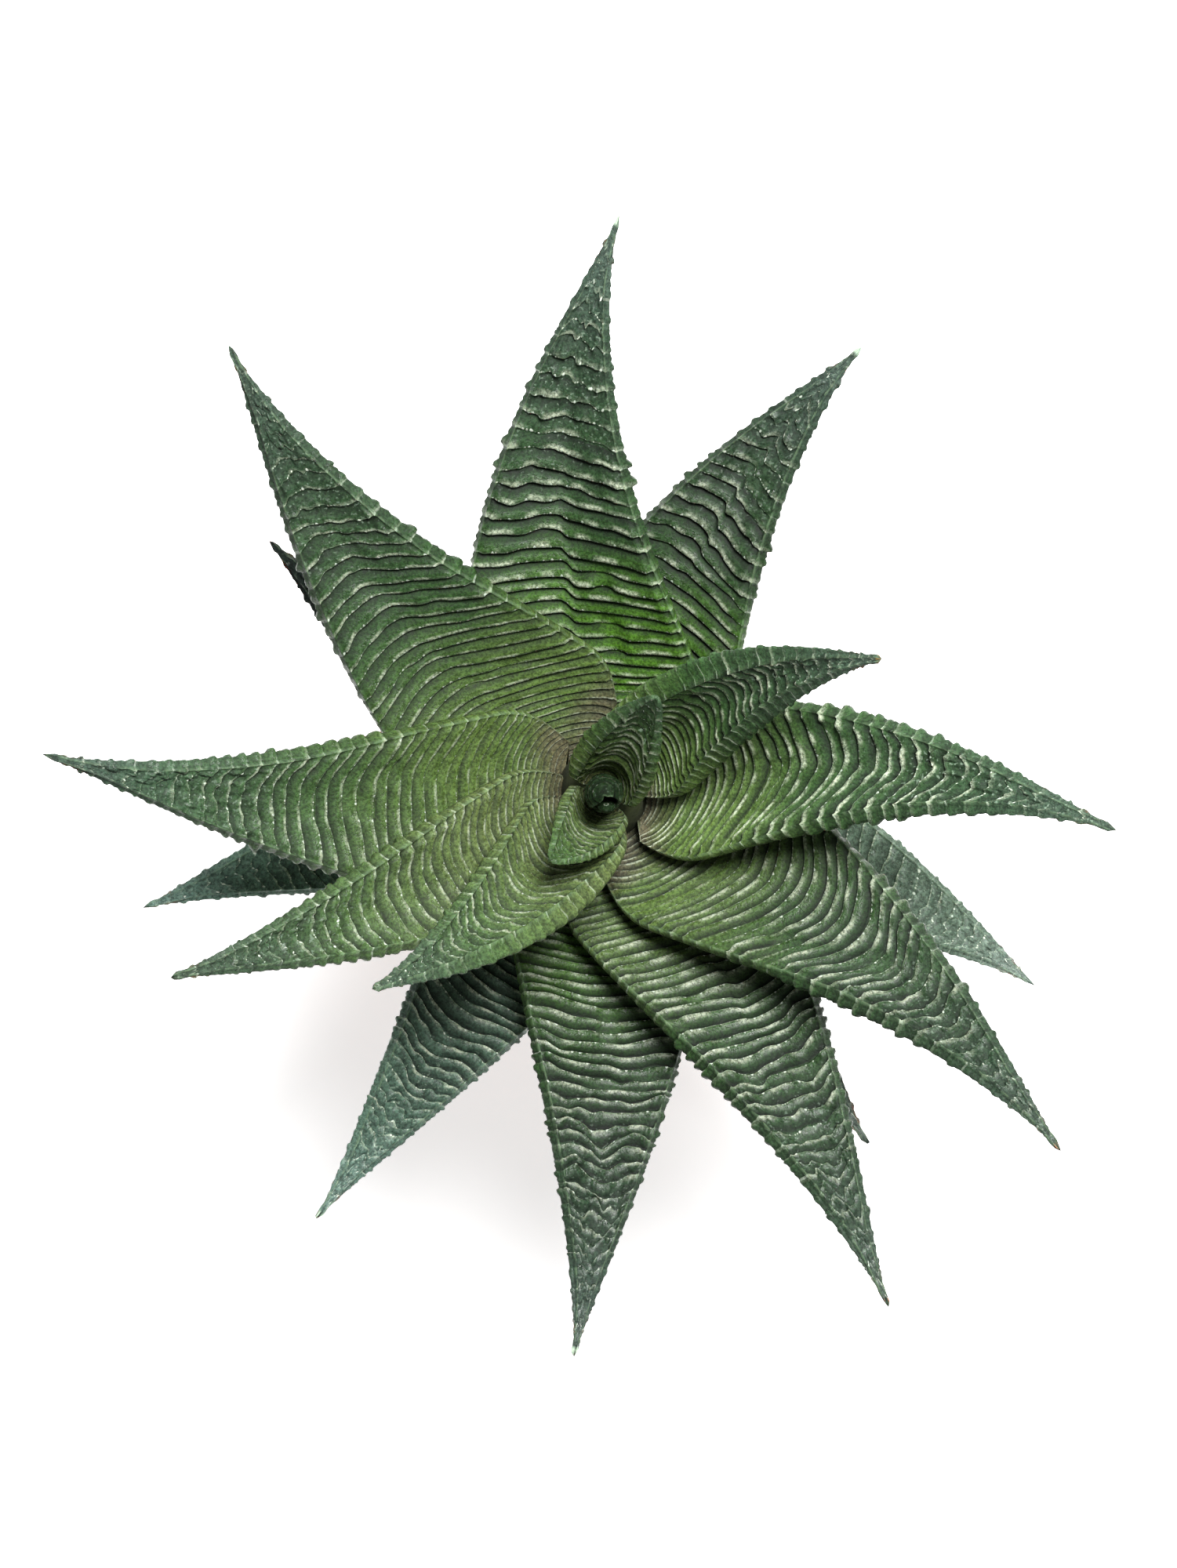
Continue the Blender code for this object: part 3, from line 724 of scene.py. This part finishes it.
def make_pot():
    shelf = POT_HEIGHT - RIM_HEIGHT
    band = POT_TOP_RADIUS - RIM_TAPER
    profile = [
        (POT_TOP_RADIUS - 1.6, POT_HEIGHT),
        (POT_TOP_RADIUS - 0.1, POT_HEIGHT),
        (band, shelf),
        (POT_TOP_RADIUS - RIM_STEP - RIM_TAPER, shelf),
        (POT_FOOT_RADIUS, 0.0),
        (DRAIN_RADIUS, 0.0),
        (DRAIN_RADIUS, POT_FLOOR),
        (pot_inner_radius(POT_FLOOR), POT_FLOOR),
        (pot_inner_radius(POT_HEIGHT), POT_HEIGHT),
        (POT_TOP_RADIUS - 1.6, POT_HEIGHT),
    ]
    outline_points = finer(rounded(profile, 0.8), 0.9)[:-1]
    mesh = turned_mesh("clay_pot", outline_points, 160, pot_wobble)
    add_piece("clay_pot", mesh, terracotta_material(), "terracotta", "pot")


def terracotta_material():
    g = Graph("fired_clay")
    mottle, fine, pits = g.noise(90.0, 4.0), g.noise(800.0, 3.0), g.noise(2600.0, 2.0)
    colour = g.ramp(mottle, [(0.30, srgb(136, 74, 48)), (0.5, srgb(162, 92, 60)), (0.72, srgb(180, 110, 76))])
    colour = g.mix(g.span(fine, 0.35, 0.75, 0.0, 0.5), colour, srgb(188, 122, 88))
    colour = g.mix(g.span(pits, 0.60, 0.72, 0.0, 0.7), colour, srgb(104, 58, 40))
    height = g.nodes.new("ShaderNodeSeparateXYZ")
    g.put(g.position(), height.inputs[0])
    rise = height.outputs["Z"]
    bloom = g.math("MULTIPLY", g.span(g.noise(130.0, 5.0, None, 0.65), 0.46, 0.72), g.span(rise, 0.004, 0.034, 0.25, 0.75))
    colour = g.mix(bloom, colour, srgb(224, 208, 190))
    # darker towards the foot of the pot, in mottled patches
    darker_foot = g.math("MULTIPLY", g.span(rise, 0.0, 0.012, 1.0, 0.0), g.span(mottle, 0.3, 0.6, 0.2, 0.6))
    colour = g.mix(darker_foot, colour, srgb(112, 66, 46))
    g.shade(Base_Color=colour, Roughness=g.span(fine, 0.3, 0.7, 0.78, 0.95))
    relief = g.math("ADD", g.math("MULTIPLY", fine, 0.6), g.math("MULTIPLY", g.span(pits, 0.55, 0.75), -0.8))
    g.bump(relief, 0.00025, 0.6)
    return g.material


def soil_height(x, y):
    """The soil's surface (mm) above its rim level: a low crown with lumps."""
    r = math.hypot(x, y)
    lumps = 0.5 * noise(np.array(x * 0.35), np.array(y * 0.35), 2.0) + 0.25 * noise(np.array(x), np.array(y), 6.0)
    return SOIL_CROWN * (1 - (r / SOIL_RADIUS) ** 2) * 0.6 + float(lumps) * 0.6


def make_soil():
    def lumpy(angle, r, z):
        return (0.0, soil_height(r * math.cos(angle), r * math.sin(angle))) if z == SOIL_TOP else (0.0, 0.0)

    top = [(0.0, SOIL_TOP)] + [(SOIL_RADIUS * (i + 1) / 26, SOIL_TOP) for i in range(26)]
    base = [(pot_inner_radius(POT_FLOOR) - GAP, POT_FLOOR + GAP), (0.0, POT_FLOOR + GAP)]
    side = finer([(SOIL_RADIUS, SOIL_TOP - 0.4), base[0]], 6.0)
    bm = bmesh.new()
    bm.from_mesh(turned_mesh("soil_bed", top + side + [base[1]], 96, lumpy))
    kind = bm.verts.layers.float.new("kind")
    tint = bm.verts.layers.float.new("tint")
    for vertex in bm.verts:
        vertex[kind] = 0.0
        vertex[tint] = 0.5
    rng = np.random.default_rng(11)
    for _ in range(GRAINS):
        add_grain(bm, rng, kind, tint)
    mesh = bpy.data.meshes.new("potting_soil")
    bm.to_mesh(mesh)
    bm.free()
    mesh.shade_smooth()
    mesh.set_sharp_from_angle(angle=math.radians(50))
    add_piece("potting_soil", mesh, soil_material(), "soil", "soil")


def add_grain(bm, rng, kind, tint):
    """One crumb of soil (kind 0), white perlite (kind 1) or bark (kind 2), half sunk in the surface."""
    pick = rng.random()
    sort = 1.0 if pick < 0.09 else (2.0 if pick < 0.24 else 0.0)
    size = {0.0: rng.uniform(0.35, 1.1), 1.0: rng.uniform(0.5, 1.2), 2.0: rng.uniform(0.7, 1.5)}[sort]
    r = (SOIL_RADIUS - 0.9 - size) * math.sqrt(rng.random())
    angle = rng.random() * 2 * math.pi
    x, y = r * math.cos(angle), r * math.sin(angle)
    if math.hypot(x - STEM_X, y - STEM_Y) < STEM_RADIUS + 0.6:
        r = SOIL_RADIUS - 1.2 - size
        x, y = r * math.cos(angle), r * math.sin(angle)
    flat = np.array([rng.uniform(1.1, 1.9), rng.uniform(0.7, 1.0), rng.uniform(0.3, 0.6)]) if sort == 2.0 else rng.uniform(0.7, 1.2, 3)
    spin = Matrix.Rotation(rng.random() * 2 * math.pi, 3, "Z") @ Matrix.Rotation(rng.normal(0, 0.4), 3, "X")
    centre = Vector((x, y, SOIL_TOP + soil_height(x, y) + 0.35 * size * flat[2]))
    made = bmesh.ops.create_icosphere(bm, subdivisions=1, radius=1.0)["verts"]
    shade = rng.random()
    for vertex in made:
        rough = vertex.co * size * rng.uniform(0.78, 1.12)
        vertex.co = (centre + spin @ Vector(rough[i] * flat[i] for i in range(3))) * MM
        vertex[kind] = sort
        vertex[tint] = shade


def soil_material():
    g = Graph("damp_soil")
    kind, tint = g.attribute("kind"), g.attribute("tint")
    fine, grit = g.noise(700.0, 4.0), g.noise(3000.0, 2.0)
    earth = g.ramp(fine, [(0.3, srgb(30, 22, 16)), (0.5, srgb(52, 38, 27)), (0.72, srgb(82, 62, 44))])
    bark = g.mix(fine, srgb(70, 44, 28), srgb(124, 84, 54))
    colour = g.mix(g.span(kind, 1.4, 1.6), earth, bark)
    shade = g.span(tint, 0.0, 1.0, 0.7, 1.4)
    colour = g.mix(1.0, colour, g.vector(shade, shade, shade), "MULTIPLY")
    perlite = g.mix(g.span(grit, 0.4, 0.7), srgb(226, 222, 212), srgb(178, 168, 150))
    white = g.math("MULTIPLY", g.span(kind, 0.4, 0.6), g.span(kind, 1.2, 1.4, 1.0, 0.0))
    colour = g.mix(white, colour, perlite)
    g.shade(Base_Color=colour, Roughness=g.span(fine, 0.3, 0.7, 0.75, 0.98))
    g.bump(g.math("ADD", fine, g.math("MULTIPLY", grit, 0.5)), 0.0004, 0.7)
    return g.material


def make_stem():
    def scarred(angle, r, z):
        """Spiral rings left by fallen leaves, and dry wrinkles."""
        turn = z / 1.9 + angle / math.pi
        ring = 0.34 * ridge_profile(np.array(turn % 1.0))
        wrinkle = 0.10 * noise(np.array(angle * 5), np.array(z * 0.4), 3.0)
        keep = min(1.0, max(0.0, (STEM_TOP - 4 - z) / 6)) * min(1.0, r / 3)
        return ((float(ring) - 0.25 + float(wrinkle)) * keep, 0.0)

    profile = [(0.0, STEM_TOP)]
    for i in range(1, 12):
        angle = math.pi / 2 * (1 - i / 11)
        profile.append((STEM_RADIUS * math.cos(angle), STEM_SHOULDER + (STEM_TOP - STEM_SHOULDER) * math.sin(angle)))
    profile += finer([(STEM_RADIUS, STEM_SHOULDER), (STEM_RADIUS, SOIL_TOP - 1), (3.3, SOIL_TOP - 9.8)], 0.24)[1:]
    profile.append((0.0, SOIL_TOP - 14))
    mesh = turned_mesh("stem_core", profile, 72, scarred, STEM_X, STEM_Y)
    bm = bmesh.new()
    bm.from_mesh(mesh)
    for i in range(SHEATHS):
        add_sheath(bm, i)
    bmesh.ops.recalc_face_normals(bm, faces=bm.faces)
    joined = bpy.data.meshes.new("ringed_stem")
    bm.to_mesh(joined)
    bm.free()
    joined.shade_smooth()
    add_piece("ringed_stem", joined, stem_material(), "stem_tissue", "stem")


def add_sheath(bm, number):
    """The dry, papery base of a leaf that has died back: a thin curved scale on the stem, open at its tip."""
    level = number / SHEATHS
    turn = number * math.radians(137.5)
    foot = SOIL_TOP + 1.2 + 12.5 * level
    height = 5.5 + 2.5 * float(hashed(number, 1, 5))
    spread = 0.75 + 0.25 * float(hashed(number, 2, 5))
    rows, columns, thick = 9, 11, 0.22
    sides = []
    for inner in (0.0, thick):
        grid = []
        for i in range(rows):
            t = i / (rows - 1)
            line = []
            for j in range(columns):
                s = 2 * j / (columns - 1) - 1
                wide = spread * (1 - t**1.6) + 0.03
                lean = 0.35 + 2.6 * t**2 + 0.5 * t * s * s + 0.25 * float(noise(np.array(3 * t), np.array(2 * s), number))
                radius = STEM_RADIUS + lean - inner
                angle = turn + wide * s
                place = (STEM_X + radius * math.cos(angle), STEM_Y + radius * math.sin(angle), foot + height * t)
                line.append(bm.verts.new([c * MM for c in place]))
            grid.append(line)
        sides.append(grid)
    outer, inner = sides
    for i in range(rows - 1):
        for j in range(columns - 1):
            bm.faces.new((outer[i][j], outer[i][j + 1], outer[i + 1][j + 1], outer[i + 1][j]))
            bm.faces.new((inner[i][j], inner[i + 1][j], inner[i + 1][j + 1], inner[i][j + 1]))
    for i in range(rows - 1):
        for j in (0, columns - 1):
            bm.faces.new((outer[i][j], outer[i + 1][j], inner[i + 1][j], inner[i][j]))
    for j in range(columns - 1):
        for i in (0, rows - 1):
            bm.faces.new((outer[i][j], outer[i][j + 1], inner[i][j + 1], inner[i][j]))


def stem_material():
    g = Graph("stem_skin")
    parts = g.nodes.new("ShaderNodeSeparateXYZ")
    g.put(g.position(), parts.inputs[0])
    rise = parts.outputs["Z"]
    fine, streak = g.noise(600.0, 4.0), g.noise(180.0, 3.0)
    dry = g.ramp(fine, [(0.3, srgb(104, 82, 58)), (0.5, srgb(150, 124, 90)), (0.72, srgb(186, 164, 128))])
    fresh = g.ramp(streak, [(0.3, srgb(32, 40, 20)), (0.7, srgb(56, 62, 34))])
    colour = g.mix(g.span(rise, 0.058, 0.066), dry, fresh)
    colour = g.mix(g.span(rise, 0.040, 0.047, 0.8, 0.0), colour, srgb(64, 48, 34))
    g.shade(Base_Color=colour, Roughness=g.span(fine, 0.3, 0.7, 0.6, 0.85))
    g.bump(g.math("ADD", fine, streak), 0.0004, 0.6)
    return g.material



make_pot()
make_soil()
make_stem()
for seed, leaf in enumerate(LEAVES, 1):
    build = bud_mesh if leaf.name.startswith("bud") else leaf_mesh
    add_piece("skin_" + leaf.name, build(leaf, seed * 11.7), leaf_material(leaf), "leaf_green", leaf.name)


def make_stage():
    bm = bmesh.new()
    bmesh.ops.create_circle(bm, cap_ends=True, segments=96, radius=2.5)
    mesh = bpy.data.meshes.new("floor")
    bm.to_mesh(mesh)
    bm.free()
    floor = bpy.data.objects.new("floor", mesh)
    bpy.context.scene.collection.objects.link(floor)
    g = Graph("studio_floor")
    shade = g.span(g.noise(6.0, 2.0), 0.3, 0.7, 0.93, 0.95)
    g.shade(Base_Color=g.vector(shade, shade, shade), Roughness=0.9)
    # painted light: the floor glows a little, which lightens the plant's shadow on it and lights the leaves a little
    # from below
    g.shader.inputs["Emission Color"].default_value = (1, 1, 1, 1)
    g.shader.inputs["Emission Strength"].default_value = 0.56
    mesh.materials.append(g.material)
    floor.location.z = -0.0002


def area_light(name, place, size, power, colour=(1, 1, 1)):
    data = bpy.data.lights.new(name, "AREA")
    data.shape = "DISK"
    data.size = size
    data.energy = power
    data.color = colour
    light = bpy.data.objects.new(name, data)
    bpy.context.scene.collection.objects.link(light)
    light.location = place
    target = Vector((0, 0, 0.075))
    light.rotation_euler = (target - Vector(place)).to_track_quat("-Z", "Y").to_euler()


def make_lights():
    area_light("main_light", (0.20, 0.42, 1.02), 0.50, 28.4)
    world = bpy.data.worlds.new("studio")
    world.use_nodes = True
    background = world.node_tree.nodes["Background"]
    background.inputs["Color"].default_value = (1, 1, 1, 1)
    background.inputs["Strength"].default_value = 0.27
    bpy.context.scene.world = world
    bpy.context.scene.view_settings.view_transform = "Standard"


def make_camera():
    data = bpy.data.cameras.new("camera")
    data.sensor_fit = "VERTICAL"
    data.sensor_height = 36.0
    data.sensor_width = 36.0
    data.lens = LENS
    data.clip_start = 0.01
    camera = bpy.data.objects.new("camera", data)
    bpy.context.scene.collection.objects.link(camera)
    camera.location = (CAMERA_X, CAMERA_Y, CAMERA_HEIGHT)
    bpy.context.scene.camera = camera


make_stage()
make_lights()
make_camera()
